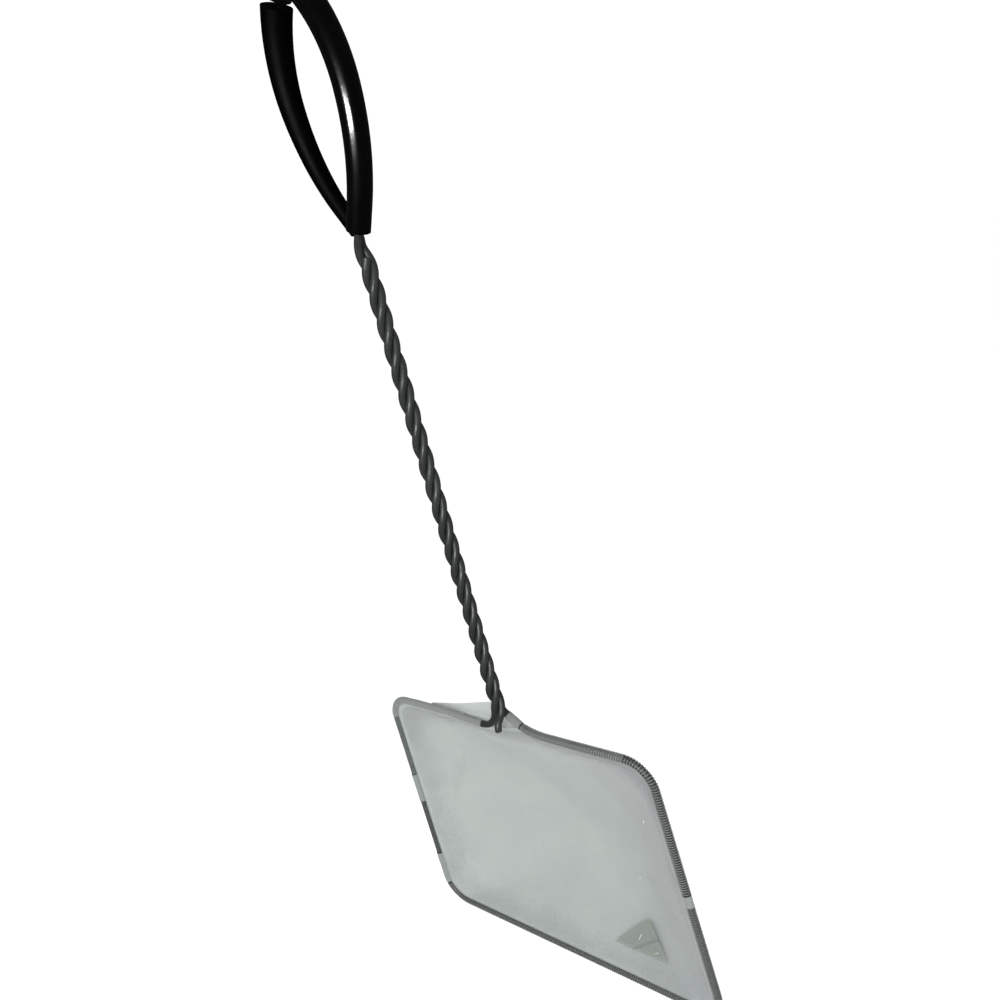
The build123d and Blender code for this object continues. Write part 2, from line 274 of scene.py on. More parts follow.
# The facing is loose under one height and close over another, and thins with its depth
loose_drop, close_drop, loose_cover = 34 * MM, 14 * MM, 0.35
thinning_start, thinning_end, inner_edge_cover = 3 * MM, 8.5 * MM, 0.12
thinning_waver = 4 * MM


def woven_mesh(name, shade, bright, hole_cover, thread_cover, pitch=mesh_pitch, painted_shade_right=False, loose_edge=False):
    """Fine woven mesh: threads along both cloth directions, and holes between them that let the background show.
    With painted shade on the right asked for, the cloth has more of its darker shade towards +X: painted shade for
    the bag's right wall. With loose_edge the weave opens out below the top of the mouth and towards the cloth's inner
    edge."""
    material, tree_nodes, links, shader = new_material(name)
    cloth = tree_nodes.new("ShaderNodeUVMap")
    cloth.uv_map = "cloth"
    split = tree_nodes.new("ShaderNodeSeparateXYZ")
    links.new(cloth.outputs["UV"], split.inputs["Vector"])
    threads = []
    for axis in ("X", "Y"):
        wave = math_node(tree_nodes, links, "PINGPONG", split.outputs[axis], pitch / 2)
        crown_end, edge_end = thread_crown * pitch, thread_edge * pitch
        threads.append(map_range(tree_nodes, links, wave, crown_end, edge_end, 1.0, 0.0, True))
    cover = math_node(tree_nodes, links, "MAXIMUM", threads[0], threads[1])
    crown = math_node(tree_nodes, links, "ADD", threads[0], threads[1])
    cloud = noise(tree_nodes, links, cloth.outputs["UV"], cloth_cloud_scale, detail=4.0)
    slub = noise(tree_nodes, links, cloth.outputs["UV"], cloth_slub_scale, detail=2.0)
    tone = math_node(tree_nodes, links, "MULTIPLY_ADD", cloud, cloud_share)
    links.new(math_node(tree_nodes, links, "MULTIPLY", slub, 1 - cloud_share), tone.node.inputs[2])
    place = tree_nodes.new("ShaderNodeSeparateXYZ")
    links.new(tree_nodes.new("ShaderNodeTexCoord").outputs["Object"], place.inputs["Vector"])
    # Painted shade: more of the darker cloth shade towards +X, for the shade on the bag's right wall
    if painted_shade_right:
        painted_shade = map_range(tree_nodes, links, place.outputs["X"], painted_shade_start_x, painted_shade_end_x, 0.0, painted_shade_amount, True)
        tone = math_node(tree_nodes, links, "SUBTRACT", tone, painted_shade)
    links.new(two_colours(tree_nodes, links, tone, shade, bright), shader.inputs["Base Color"])
    alpha = map_range(tree_nodes, links, cover, 0.0, 1.0, hole_cover, thread_cover)
    if loose_edge:
        loose_z, close_z = top_z - loose_drop, top_z - close_drop
        upper = map_range(tree_nodes, links, place.outputs["Z"], loose_z, close_z, loose_cover, 1.0, True)
        waver = math_node(tree_nodes, links, "MULTIPLY", cloud, thinning_waver)
        depth = math_node(tree_nodes, links, "ADD", place.outputs["Y"], waver)
        outer = map_range(tree_nodes, links, depth, thinning_start, thinning_end, 1.0, inner_edge_cover, True)
        alpha = math_node(tree_nodes, links, "MULTIPLY", alpha, upper)
        alpha = math_node(tree_nodes, links, "MULTIPLY", alpha, outer)
    links.new(alpha, shader.inputs["Alpha"])
    links.new(map_range(tree_nodes, links, slub, *noise_range, *cloth_roughness), shader.inputs["Roughness"])
    shader.inputs["Specular IOR Level"].default_value = cloth_gloss
    shader.inputs["Sheen Weight"].default_value = cloth_sheen
    shader.inputs["Sheen Roughness"].default_value = cloth_sheen_roughness
    bump(tree_nodes, links, shader, crown, weave_strength, weave_height)
    return material


wire_coat = moulded_plastic(
    "wire coat",
    dark=(0.013, 0.0145, 0.0145),
    light=(0.028, 0.030, 0.030),
    roughness=(0.34, 0.5),
    grain_scale=700,
    grain_depth=0.06 * MM,
    gloss=0.35,
    coat=0.05,
)
tube_skin = {
    "dark": (0.0002, 0.0002, 0.0003),
    "light": (0.0006, 0.0006, 0.0008),
    "grain_scale": 260,
    "grain_depth": 0.03 * MM,
}
grip_tube = moulded_plastic("grip tube", roughness=(0.12, 0.17), gloss=0.5, coat=0.3, **tube_skin)
dull_grip_tube = moulded_plastic("dull grip tube", roughness=(0.42, 0.55), gloss=0.04, coat=0.0, **tube_skin)
steel = drawn_steel("wire core steel")
hem_tones = ((0.25, 0.27, 0.26), (0.30, 0.32, 0.31))
cool_hem_tones = ((0.25, 0.27, 0.27), (0.30, 0.32, 0.32))
# The bag mesh carries painted shade towards its right wall
bag_mesh = woven_mesh("bag mesh", (0.210, 0.228, 0.226), (0.294, 0.328, 0.304), 0.85, 0.97, painted_shade_right=True)
tent_mesh = woven_mesh("tent mesh", (0.30, 0.325, 0.315), (0.345, 0.375, 0.355), 0.82, 0.97)
facing_mesh = woven_mesh("facing mesh", (0.225, 0.233, 0.248), (0.258, 0.268, 0.278), 0.32, 0.42, loose_edge=True)
bare_hem_mesh = woven_mesh("bare hem mesh", *hem_tones, 0.01, 0.05)
thin_hem_mesh = woven_mesh("thin hem mesh", *hem_tones, 0.10, 0.14)
middle_hem_mesh = woven_mesh("middle hem mesh", *cool_hem_tones, 0.10, 0.30)
thick_hem_mesh = woven_mesh("thick hem mesh", *hem_tones, 0.38, 0.62)
seam_mesh = woven_mesh("seam mesh", (0.18, 0.20, 0.19), (0.215, 0.235, 0.225), 0.8, 0.97, dense_pitch)
corner_mesh = woven_mesh("corner mesh", (0.175, 0.195, 0.172), (0.21, 0.23, 0.205), 0.55, 0.85, dense_pitch)
hem_thread = sewing_thread("hem thread", (0.14, 0.15, 0.145), (0.22, 0.235, 0.225))
white_thread = sewing_thread("white thread", (0.62, 0.64, 0.63), (0.76, 0.77, 0.76))

for node_name, material in {
    "hoop_coat": wire_coat,
    "left_strand_coat": wire_coat,
    "right_strand_coat": wire_coat,
    "left_arm_coat": wire_coat,
    "right_arm_coat": wire_coat,
    "filler_coat": wire_coat,
    "left_grip_sleeve": dull_grip_tube,
    "right_grip_sleeve": grip_tube,
    "frame_wire_core": steel,
    "filler_core": steel,
}.items():
    nodes[node_name].data.materials.clear()
    nodes[node_name].data.materials.append(material)


def surface(name, points, cloth, material, stands_for=()):
    """Mesh of a grid of points, rows by columns. Where cloth has one more column than points, the columns close into
    a ring. cloth holds each corner's place on the flat cloth."""
    rows, columns = points.shape[:2]
    row, column = np.meshgrid(np.arange(rows - 1), np.arange(cloth.shape[1] - 1), indexing="ij")
    following = (column + 1) % columns
    corners = [(row, column), (row, following), (row + 1, following), (row + 1, column)]
    faces = np.stack([r * columns + c for r, c in corners], -1).reshape(-1, 4)
    cloth_corners = [(row, column), (row, column + 1), (row + 1, column + 1), (row + 1, column)]
    laid = np.stack([cloth[r, c] for r, c in cloth_corners], 2)
    mesh = bpy.data.meshes.new(name)
    mesh.from_pydata(points.reshape(-1, 3).tolist(), [], faces.tolist())
    layer = mesh.uv_layers.new(name="cloth")
    layer.data.foreach_set("uv", laid.reshape(-1).astype(np.float32))
    built = bmesh.new()
    built.from_mesh(mesh)
    bmesh.ops.remove_doubles(built, verts=built.verts, dist=merge_distance)
    built.to_mesh(mesh)
    built.free()
    mesh.polygons.foreach_set("use_smooth", np.ones(len(mesh.polygons), bool))
    mesh.materials.append(material)
    piece = bpy.data.objects.new(name, mesh)
    bpy.context.scene.collection.objects.link(piece)
    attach(piece, "root")
    if stands_for:
        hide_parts(*stands_for)
    return piece


# Paths round the hoop

arc_points = 30
leg_points_in_hem = 32
route_step = 0.3 * MM


def arc(low, corner, high):
    """Points on the arc that touches the lines from its corner C to its ends A and B, which are as far from C:
    ((1-t)^2 A + 2wt(1-t) C + t^2 B) / ((1-t)^2 + 2wt(1-t) + t^2), with w the cosine of half its turn."""
    t = np.linspace(0, 1, arc_points)[:, None]
    turn = (corner - low) @ (high - corner) / ((corner - low) @ (corner - low))
    weight = np.sqrt((1 + turn) / 2)
    share = (1 - t) ** 2 + 2 * weight * t * (1 - t) + t**2
    return ((1 - t) ** 2 * low + 2 * weight * t * (1 - t) * corner + t**2 * high) / share


def biarc(start, start_direction, end, end_direction):
    """Points on two arcs that leave start and reach end in the given directions."""
    chord = end - start
    both = start_direction + end_direction
    slope = chord @ both
    reach = chord @ chord / (slope + np.sqrt(slope**2 - (both @ both - 4) * (chord @ chord)))
    first = start + start_direction * reach
    second = end - end_direction * reach
    meeting = (first + second) / 2
    return np.concatenate([arc(start, first, meeting), arc(meeting, second, end)])


def rounded_path(stops, radius):
    """Straight runs from stop to stop, with an arc of the radius at each inner stop."""
    points = [stops[0][None]]
    for before, corner, after in zip(stops[:-2], stops[1:-1], stops[2:]):
        arriving = (corner - before) / np.linalg.norm(corner - before)
        leaving = (after - corner) / np.linalg.norm(after - corner)
        reach = radius * np.tan(np.arccos(arriving @ leaving) / 2)
        points.append(arc(corner - arriving * reach, corner, corner + leaving * reach))
    return np.concatenate([*points, stops[-1][None]])


left_shoulder_run = biarc(left_leg_end, leftwards, left_shoulder, leftwards)
right_shoulder_run = biarc(right_shoulder, leftwards, right_leg_end, right_leg_direction)
right_leg_run = biarc(right_leg_end, right_leg_direction, right_strand_foot, right_strand_direction)
top_wire = np.concatenate([left_shoulder_run, right_shoulder_run])
top_wire = top_wire[np.argsort(top_wire[:, 0])]


def hem_height(x):
    """Height of the hem's wire over the hoop's straight top."""
    return np.interp(x, top_wire[:, 0], top_wire[:, 2] - top_z)


def hem_forward(x):
    """Place of the hem's wire in front of the hoop's plane or behind it."""
    return np.interp(x, top_wire[:, 0], top_wire[:, 1])


def even_path(line, step):
    """The line with its points an even step apart, and how far along it each one lies."""
    gaps = np.linalg.norm(np.diff(line, axis=0), axis=1)
    line = line[np.append(True, gaps > least_gap)]
    along = np.append(0, np.cumsum(np.linalg.norm(np.diff(line, axis=0), axis=1)))
    places = np.linspace(0, along[-1], max(2, int(along[-1] / step) + 1))
    return np.stack([np.interp(places, along, line[:, axis]) for axis in range(3)], -1), places


def path_frame(line):
    """Unit vectors along a line: into the hoop and to the back, both square to the line."""
    direction = np.gradient(line, axis=0)
    direction /= np.linalg.norm(direction, axis=1)[:, None]
    inward = np.cross(direction, np.array([0.0, 1.0, 0.0]))
    inward /= np.linalg.norm(inward, axis=1)[:, None]
    return inward, np.cross(inward, direction)


def stretch_of(line, start, end):
    """The part of a line between two shares of its length."""
    even, along = even_path(line, route_step)
    share = along / along[-1]
    return even[(share >= start) & (share <= end)]


upper_left_stops = [left_shoulder, side_point(-1, top_z), side_point(-1, left_seam_z + left_seam_half)]
lower_stops = [
    side_point(-1, left_seam_z - left_seam_half),
    side_point(-1, bottom_z),
    side_point(1, bottom_z),
    side_point(1, right_seam_z - right_seam_half),
]
upper_right_stops = [side_point(1, right_seam_z + right_seam_half), side_point(1, top_z), right_shoulder]
upper_left_line = np.concatenate([left_shoulder_run, rounded_path(upper_left_stops, hoop_corner_radius)])
lower_line = rounded_path(lower_stops, hoop_corner_radius)
upper_right_line = np.concatenate(
    [rounded_path(upper_right_stops, hoop_corner_radius), right_shoulder_run, right_leg_run[:leg_points_in_hem]]
)
top_left_route = stretch_of(upper_left_line, 0, 0.66)
left_route = stretch_of(upper_left_line, 0.656, 1)
left_lower_route = stretch_of(lower_line, 0, 0.123)
left_covered_route = stretch_of(lower_line, 0.125, 0.198)
bottom_route = stretch_of(lower_line, 0.2, 1)
right_route = stretch_of(upper_right_line, 0, 0.525)
top_right_route = stretch_of(upper_right_line, 0.522, 0.93)
right_leg_route = stretch_of(upper_right_line, 0.932, 1)


# The dish of the bag

spread_limit = 1.2
deepest_share = 0.985
depth_halvings = 40
rim_hold = 6
wire_follow = (0.2, 0.9)
pouch_rows = 84
facing_rows = 14
under_hem = 0.74 * MM
facing_inset = 1.1 * MM

# The crease on the bag's left, as a line down from its top end
crease_top_x, crease_top_drop = -44.8 * MM, 33.3 * MM
crease_lean = 0.414
crease_width = 1.5 * MM
crease_height = 1.9 * MM
crease_foot = (56 * MM, 46 * MM)
crease_head = (35 * MM, 26 * MM)

# Pulls from the hoop's corners, each with its strength, and the slow unevenness of the whole bag: two waves, each
# with its radians per metre across and up the mouth, its start and its strength
corner_pulls = ((-side_x, top_z, 0.9), (side_x, top_z, 0.7), (side_x, bottom_z, 0.8), (-side_x, bottom_z, 0.6))
pull_waves = 11
pull_reach = 22 * MM
pull_height = 0.45 * MM
slow_waves = ((70, 40, 1.0, 1.0), (-55, 95, 2.4, 0.6))
slow_height = 0.28 * MM


def rounded_section(half_x, half_z, corner, around):
    """Rounded rectangle: whole parts of around name the corner, the first half of each step turns over its quarter
    arc and the second half runs straight to the next corner."""
    quarter = np.floor(around).astype(int) % 4
    fraction = around - np.floor(around)
    sign_x = np.array([1, -1, -1, 1])
    sign_z = np.array([1, 1, -1, -1])
    turn = np.pi / 2 * (quarter + np.clip(2 * fraction, 0, 1))
    run = np.clip(2 * fraction - 1, 0, 1)
    following = (quarter + 1) % 4
    centre_x = (sign_x[quarter] * (1 - run) + sign_x[following] * run) * (half_x - corner)
    centre_z = (sign_z[quarter] * (1 - run) + sign_z[following] * run) * (half_z - corner)
    return centre_x + corner * np.cos(turn), centre_z + corner * np.sin(turn)


def section_sizes(share, grow):
    """Half width, half height, corner radius and middle height of the dish at a share of its depth."""
    narrowing = np.sqrt(np.clip(1 - share, 0, 1))
    half_x = np.maximum(rim_half_width * narrowing + grow, least)
    half_z = np.maximum(rim_half_height * narrowing + grow, least)
    corner = np.minimum(rim_corner_radius * (1 - share) + pouch_roundness * half_z * share, half_z)
    return half_x, half_z, corner, rim_middle_z - pouch_sag * share


def spread(x, level):
    """How much wider the dish is at a level between its top, 1, and its bottom, -1."""
    return 1 - np.where(x > 0, right_spread, left_spread) * np.clip(level, -spread_limit, spread_limit)


def folds(x, z):
    """Depth of the bag's soft folds: an upright crease on the left, a bell curve across its line, pulls that run out
    from the corners as dying waves, and a slow unevenness of two crossed waves."""
    drop = top_z - z
    crease_x = crease_top_x + crease_lean * (crease_top_drop - drop)
    over_foot = smooth_step(z, top_z - crease_foot[0], top_z - crease_foot[1])
    under_head = 1 - smooth_step(z, top_z - crease_head[0], top_z - crease_head[1])
    crease = np.exp(-(((x - crease_x) / crease_width) ** 2)) * over_foot * under_head
    pulls = np.zeros_like(x)
    for corner_x, corner_z, strength in corner_pulls:
        reach = np.hypot(x - corner_x, z - corner_z)
        bearing = np.arctan2(z - corner_z, x - corner_x)
        pulls += strength * np.sin(pull_waves * bearing) * np.exp(-reach / pull_reach)
    slow = sum(strength * np.sin(across * x + up * z + start) for across, up, start, strength in slow_waves)
    return -crease_height * crease + pull_height * pulls + slow_height * slow


def dish(radius, around, grow=0.0):
    """Points of the bag at a share radius of the way from its floor to its rim: depth = (1 - radius^2) x full depth.
    Near the rim the wire's own height and lean are added. With them comes each point's place on the flat cloth: its
    way from the middle, stretched as a parabola of slope s is: (sqrt(1 + s^2) + asinh(s) / s) / 2."""
    share = 1 - radius**2
    half_x, half_z, corner, middle = section_sizes(share, grow)
    x, up = rounded_section(half_x, half_z, corner, around)
    x = x * spread(x, up / half_z)
    z = middle + up
    held = radius**rim_hold
    upper = smooth_step(up / half_z, *wire_follow)
    y = (pouch_depth + grow) * share + folds(x, z) * (1 - held) + hem_forward(x) * held * upper
    z = z + (hem_height(x) + top_z - left_leg_end[2]) * held * upper
    rim_distance = np.hypot(x, up) / np.maximum(radius, least)
    steep = np.maximum(2 * pouch_depth * radius / np.maximum(rim_distance, least), least)
    stretch = (np.sqrt(1 + steep**2) + np.arcsinh(steep) / steep) / 2
    x, y, z, stretch, up = np.broadcast_arrays(x, y, z, stretch, up)
    return np.stack([x, y, z], -1), np.stack([x * stretch, up * stretch], -1)


def dish_depth(x, z, grow):
    """Depth of the dish under a point of its mouth: the depth at which the section's edge passes the point, found by
    halving its range again and again."""
    low, high = np.zeros_like(x), np.full_like(x, deepest_share)
    for _ in range(depth_halvings):
        middle_share = (low + high) / 2
        half_x, half_z, corner, middle = section_sizes(middle_share, grow)
        over_x = np.abs(x) / spread(x, (z - middle) / half_z) - (half_x - corner)
        over_z = np.abs(z - middle) - (half_z - corner)
        past_corner = np.hypot(np.maximum(over_x, 0), np.maximum(over_z, 0))
        inside = past_corner + np.minimum(np.maximum(over_x, over_z), 0) <= corner
        low, high = np.where(inside, middle_share, low), np.where(inside, high, middle_share)
    return (pouch_depth + grow) * low


def perimeter_steps(arc_steps, run_steps):
    """Values of around, close together on the corner arcs and even along the straight runs."""
    on_arc = np.linspace(0, 0.5, arc_steps, endpoint=False)
    on_run = np.linspace(0.5, 1, run_steps, endpoint=False)
    return (np.arange(4)[:, None] + np.concatenate([on_arc, on_run])[None]).reshape(-1)


around = perimeter_steps(arc_steps=28, run_steps=110)
around_closed = np.append(around, 4.0)
radius_steps = np.linspace(1.0, 0.0, pouch_rows)[:, None]
rim_under_hem = np.array([[1.0]])
pouch_points = np.concatenate(
    [dish(rim_under_hem, around[None], under_hem)[0], dish(radius_steps, around[None])[0]]
)
pouch_cloth = np.concatenate(
    [dish(rim_under_hem, around_closed[None], under_hem)[1], dish(radius_steps, around_closed[None])[1]]
)
net_bag = surface("net_bag", pouch_points, pouch_cloth, bag_mesh, ("net_pouch",))

facing_radius = np.linspace(1.0, np.sqrt(1 - facing_depth / pouch_depth), facing_rows)[:, None]
facing_points, _ = dish(facing_radius, around[None], -facing_inset)
_, facing_cloth = dish(facing_radius, around_closed[None], -facing_inset)
facing = surface("mouth_facing", facing_points, facing_cloth, facing_mesh, ("hem_facing",))


# Hem folded over the wire, and its stitches

ring_sides = 24
towards_bag = 0.35
hem_step = 0.6 * MM
hem_reach = 1.38 * MM
hem_waver = 0.05 * MM
hem_short_waver, hem_long_waver = 1.7 * MM, 4.3 * MM
hem_tail, hem_tail_sharpness = 0.79 * MM, 8
hem_cloth_radius = 1.6 * MM
stitch_pitch = 0.95 * MM
stitch_reach = 1.48 * MM
stitch_tail, stitch_tail_sharpness = 0.6 * MM, 6
points_per_stitch = 10
thread_sides = 5
thread_cloth_step = 0.2 * MM
thread_cloth_width = 1 * MM
off_every_thread = np.array([0.31, 0.87, 0.38])


def hem_sleeve(name, route, material, stands_for=()):
    """Mesh folded over the wire: a ring that draws out to a tail towards the bag, carried along the hoop."""
    line, along = even_path(route, hem_step)
    inward, back = path_frame(line)
    ring = np.linspace(0, 2 * np.pi, ring_sides, endpoint=False)
    waver = np.sin(along / hem_short_waver) + np.sin(along / hem_long_waver + 1)
    tail = np.maximum(np.cos(ring - towards_bag), 0) ** hem_tail_sharpness
    reach = hem_reach + hem_waver * waver[:, None] + hem_tail * tail[None]
    points = (
        line[:, None]
        + reach[..., None] * np.cos(ring)[None, :, None] * inward[:, None]
        + reach[..., None] * np.sin(ring)[None, :, None] * back[:, None]
    )
    girth = np.linspace(0, 2 * np.pi * hem_cloth_radius, ring_sides + 1)
    cloth = np.stack(np.broadcast_arrays(along[:, None], girth[None]), -1)
    return surface(name, points, cloth, material, stands_for)


def round_thread(name, line, thickness, material):
    """Thread of round section along a line: each ring is square to the line's own direction."""
    direction = np.gradient(line, axis=0)
    direction /= np.maximum(np.linalg.norm(direction, axis=1)[:, None], nearly_zero)
    aside = np.cross(direction, off_every_thread)
    aside /= np.maximum(np.linalg.norm(aside, axis=1)[:, None], nearly_zero)
    third = np.cross(direction, aside)
    ring = np.linspace(0, 2 * np.pi, thread_sides, endpoint=False)
    points = line[:, None] + thickness / 2 * (
        np.cos(ring)[None, :, None] * aside[:, None] + np.sin(ring)[None, :, None] * third[:, None]
    )
    along = np.arange(len(line)) * thread_cloth_step
    girth = np.linspace(0, thread_cloth_width, thread_sides + 1)
    cloth = np.stack(np.broadcast_arrays(along[:, None], girth[None]), -1)
    return surface(name, points, cloth, material)


def whip_stitch(name, route, thickness):
    """Fine thread wound round the hem: a helix about the hoop's line, one turn for each stitch."""
    line, along = even_path(route, stitch_pitch / points_per_stitch)
    inward, back = path_frame(line)
    turn = 2 * np.pi * along / stitch_pitch
    reach = stitch_reach + stitch_tail * np.maximum(np.cos(turn - towards_bag), 0) ** stitch_tail_sharpness
    wound = line + reach[:, None] * (np.cos(turn)[:, None] * inward + np.sin(turn)[:, None] * back)
    return round_thread(name, wound, thickness, hem_thread)


hem_pieces = [
    hem_sleeve("upper_left_hem_fold", top_left_route, thick_hem_mesh, ("upper_left_hem",)),
    hem_sleeve("left_hem_fold", left_route, middle_hem_mesh),
    hem_sleeve("left_lower_hem_fold", left_lower_route, thin_hem_mesh),
    hem_sleeve("left_covered_hem_fold", left_covered_route, seam_mesh),
    hem_sleeve("lower_hem_fold", bottom_route, thin_hem_mesh, ("lower_hem",)),
    hem_sleeve("right_hem_fold", right_route, bare_hem_mesh),
    hem_sleeve("upper_right_hem_fold", top_right_route, middle_hem_mesh, ("upper_right_hem",)),
    hem_sleeve("right_leg_hem_fold", right_leg_route, thick_hem_mesh),
    whip_stitch("lower_hem_stitches", bottom_route, 0.12 * MM),
    whip_stitch("right_hem_stitches", right_route, 0.24 * MM),
    whip_stitch("upper_right_hem_stitches", top_right_route, 0.22 * MM),
]


# Side seams: the sleeve of mesh in each break of the hem and the sewn strip down the outside of the bag

seam_rows = 30
seam_reach = 1.42 * MM
seam_fray, seam_fray_sharpness = 0.08 * MM, 6
seam_lobe_height, seam_lobes = 0.06 * MM, 3
seam_cloth_radius = 1.8 * MM
seam_end_gap = 0.2 * MM
strip_rows, strip_columns = 24, 7
strip_half_width = 2.1 * MM
strip_start = 0.4 * MM
strip_ripple, strip_ripple_length = 0.25 * MM, 2.4 * MM
strip_grow, strip_lift = 0.35 * MM, 0.2 * MM
zigzag_step = 0.11 * MM
zigzag_length = 1.1 * MM
zigzag_half_width = 1.8 * MM
zigzag_start, zigzag_end = 1.2 * MM, 1.6 * MM
zigzag_grow, zigzag_lift = 0.6 * MM, 0.35 * MM
zigzag_thickness = 0.18 * MM


def seam_sleeve(name, side, z, half, stands_for):
    """Short loose sleeve of mesh round the wire, wider at its ends where the mesh frays."""
    along = np.linspace(-half, half, seam_rows)
    ring = np.linspace(0, 2 * np.pi, ring_sides, endpoint=False)
    fray = seam_fray * (np.abs(along) / half) ** seam_fray_sharpness
    reach = seam_reach + fray[:, None] + seam_lobe_height * np.sin(seam_lobes * ring + 1)[None]
    middle = side * side_across(side, z + along)[:, None]
    x = middle + reach * np.cos(ring)[None]
    y = reach * np.sin(ring)[None]
    points = np.stack(np.broadcast_arrays(x, y, (z + along)[:, None]), -1)
    girth = np.linspace(0, 2 * np.pi * seam_cloth_radius, ring_sides + 1)
    cloth = np.stack(np.broadcast_arrays(along[:, None], girth[None]), -1)
    return surface(name, points, cloth, seam_mesh, (stands_for,))


def seam_strip(name, side, z):
    """Flat strip sewn on the outside of the dish, from the rim in towards its floor."""
    outer = side_across(side, z)
    x = side * np.linspace(outer - rim_inset - strip_start, outer - seam_strip_reach, strip_rows)[:, None]
    across = np.linspace(-strip_half_width, strip_half_width, strip_columns)[None]
    ripple = strip_ripple * np.sin(x / strip_ripple_length)
    x, height = np.broadcast_arrays(x, z + across + ripple * np.sign(across))
    points = np.stack([x, dish_depth(x, height, strip_grow) + strip_lift, height], -1)
    middle_line = points[:, strip_columns // 2]
    run = np.append(0, np.cumsum(np.linalg.norm(np.diff(middle_line, axis=0), axis=1)))
    cloth = np.stack(np.broadcast_arrays(run[:, None], across), -1)
    return surface(name, points, cloth, middle_hem_mesh)


def zigzag(name, side, z):
    """Overlock thread on the strip: it crosses from edge to edge at each step in."""
    steps = np.arange(0, seam_strip_reach - rim_inset - zigzag_end, zigzag_step)
    x = side * (side_across(side, z) - rim_inset - zigzag_start - steps)
    height = z + zigzag_half_width * (np.abs((steps / zigzag_length) % 1 * 2 - 1) * 2 - 1)
    y = dish_depth(x, height, zigzag_grow) + zigzag_lift
    return round_thread(name, np.stack([x, y, height], -1), zigzag_thickness, white_thread)


seam_pieces = [
    seam_sleeve("left_seam_sleeve", -1, left_seam_z, left_seam_half - seam_end_gap, "left_side_seam"),
    seam_sleeve("right_seam_sleeve", 1, right_seam_z, right_seam_half - seam_end_gap, "right_side_seam"),
    seam_strip("left_seam_strip", -1, left_seam_z),
    seam_strip("right_seam_strip", 1, right_seam_z),
    zigzag("left_seam_stitches", -1, left_seam_z),
    zigzag("right_seam_stitches", 1, right_seam_z),
]


# Hem allowance behind the twist: a tent of mesh drawn up to the handle

tent_columns, tent_rows = 110, 30
tent_start, tent_peak, leg_meeting = -40 * MM, -7 * MM, 2 * MM
tent_hollow = 1.1
tent_lean_share = 0.4
tent_start_height, tent_rise_height, tent_peak_height = 0.2 * MM, 7.0 * MM, 7.2 * MM
under_leg, leg_taper, leg_taper_run = 0.3 * MM, 1.5 * MM, 5 * MM
tent_end_gap = 1 * MM
hem_break = (-15 * MM, -12 * MM)
foot_drop, foot_drop_in_break = 1.0 * MM, 1.3 * MM
foot_back, foot_forward_in_break = 1.75 * MM, 1.6 * MM
tent_back, twist_room, twist_room_width = 2.4 * MM, 1.1 * MM, 11 * MM
tent_ripple, tent_ripple_length = 0.15 * MM, 3.1 * MM


def tent_top(x):
    """Outline of the tent over the hoop's top: a hollow rise from the left to its peak, and a straight fall behind
    the twist to the right leg, which it follows."""
    rise = np.clip((x - tent_start) / (tent_peak - tent_start), 0, 1)
    left = tent_start_height + tent_rise_height * rise**tent_hollow
    leg = np.interp(np.maximum(x, leg_meeting), right_leg_run[::-1, 0], right_leg_run[::-1, 2]) - top_z
    leg = leg - under_leg - leg_taper * np.clip((x - leg_meeting) / leg_taper_run, 0, 1)
    fall = np.clip((x - tent_peak) / (leg_meeting - tent_peak), 0, 1)
    return np.where(x < tent_peak, left, tent_peak_height * (1 - fall) + leg * fall)


tent_x = np.linspace(tent_start, flap_high.x - tent_end_gap, tent_columns)[None]
tent_rise = np.linspace(0, 1, tent_rows)[:, None]
in_break = smooth_step(tent_x, *hem_break)
round_twist = np.exp(-((tent_x / twist_room_width) ** 2))
tent_foot_z = top_z + hem_height(tent_x) - foot_drop - foot_drop_in_break * in_break
tent_foot_y = foot_back - foot_forward_in_break * in_break
tent_back_y = tent_back + twist_room * round_twist
tent_z = tent_foot_z + (top_z + tent_top(tent_x) - tent_foot_z) * tent_rise
tent_y = tent_foot_y + (tent_back_y - tent_foot_y) * smooth_step(tent_rise, 0, tent_lean_share)
tent_y = tent_y + tent_ripple * np.sin(tent_x / tent_ripple_length) * tent_rise
tent_points = np.stack(np.broadcast_arrays(tent_x, tent_y, tent_z), -1)
tent_cloth = np.stack(np.broadcast_arrays(tent_x, tent_z - top_z), -1)
hem_tent = surface("hem_tent", tent_points, tent_cloth, tent_mesh, ("hem_flap",))


# Bottom corner turned over inside the bag: a triangle of mesh with a rolled fold, and loose stitches

patch_inset, fold_inset, stitch_inset = 1.9 * MM, 2.0 * MM, 2.1 * MM
patch_columns, patch_rows = 34, 24
patch_stretch = 1.25
fold_points = 24
fold_start_share, fold_end_share = 0.36, 0.52
fold_thickness = 0.45 * MM
loose_stitch_points = 9
stitch_arch = 0.2 * MM
stitch_thickness = 0.2 * MM
corner_left = np.array([corner_low.x, corner_low.z])
corner_right = np.array([corner_high.x, corner_low.z])
corner_tip = np.array([(corner_low.x + corner_high.x) / 2 + corner_flap_lean, corner_high.z])


def on_dish(flat, inset):
    """Points of the mouth's plane, each dropped on to the dish and held off it by an inset."""
    y = dish_depth(flat[..., 0], flat[..., 1], -inset)
    return np.stack([flat[..., 0], y, flat[..., 1]], -1)


def loose_stitch(name, x, z, turn, length):
    """One short stitch that stands over the mesh: a low arch along a line."""
    t = np.linspace(-1, 1, loose_stitch_points)[:, None]
    flat = np.array([x, z]) + t * length / 2 * np.array([np.cos(turn), np.sin(turn)])
    line = on_dish(flat, stitch_inset)
    line[:, 1] -= stitch_arch * (1 - t[:, 0] ** 2)
    return round_thread(name, line, stitch_thickness, white_thread)


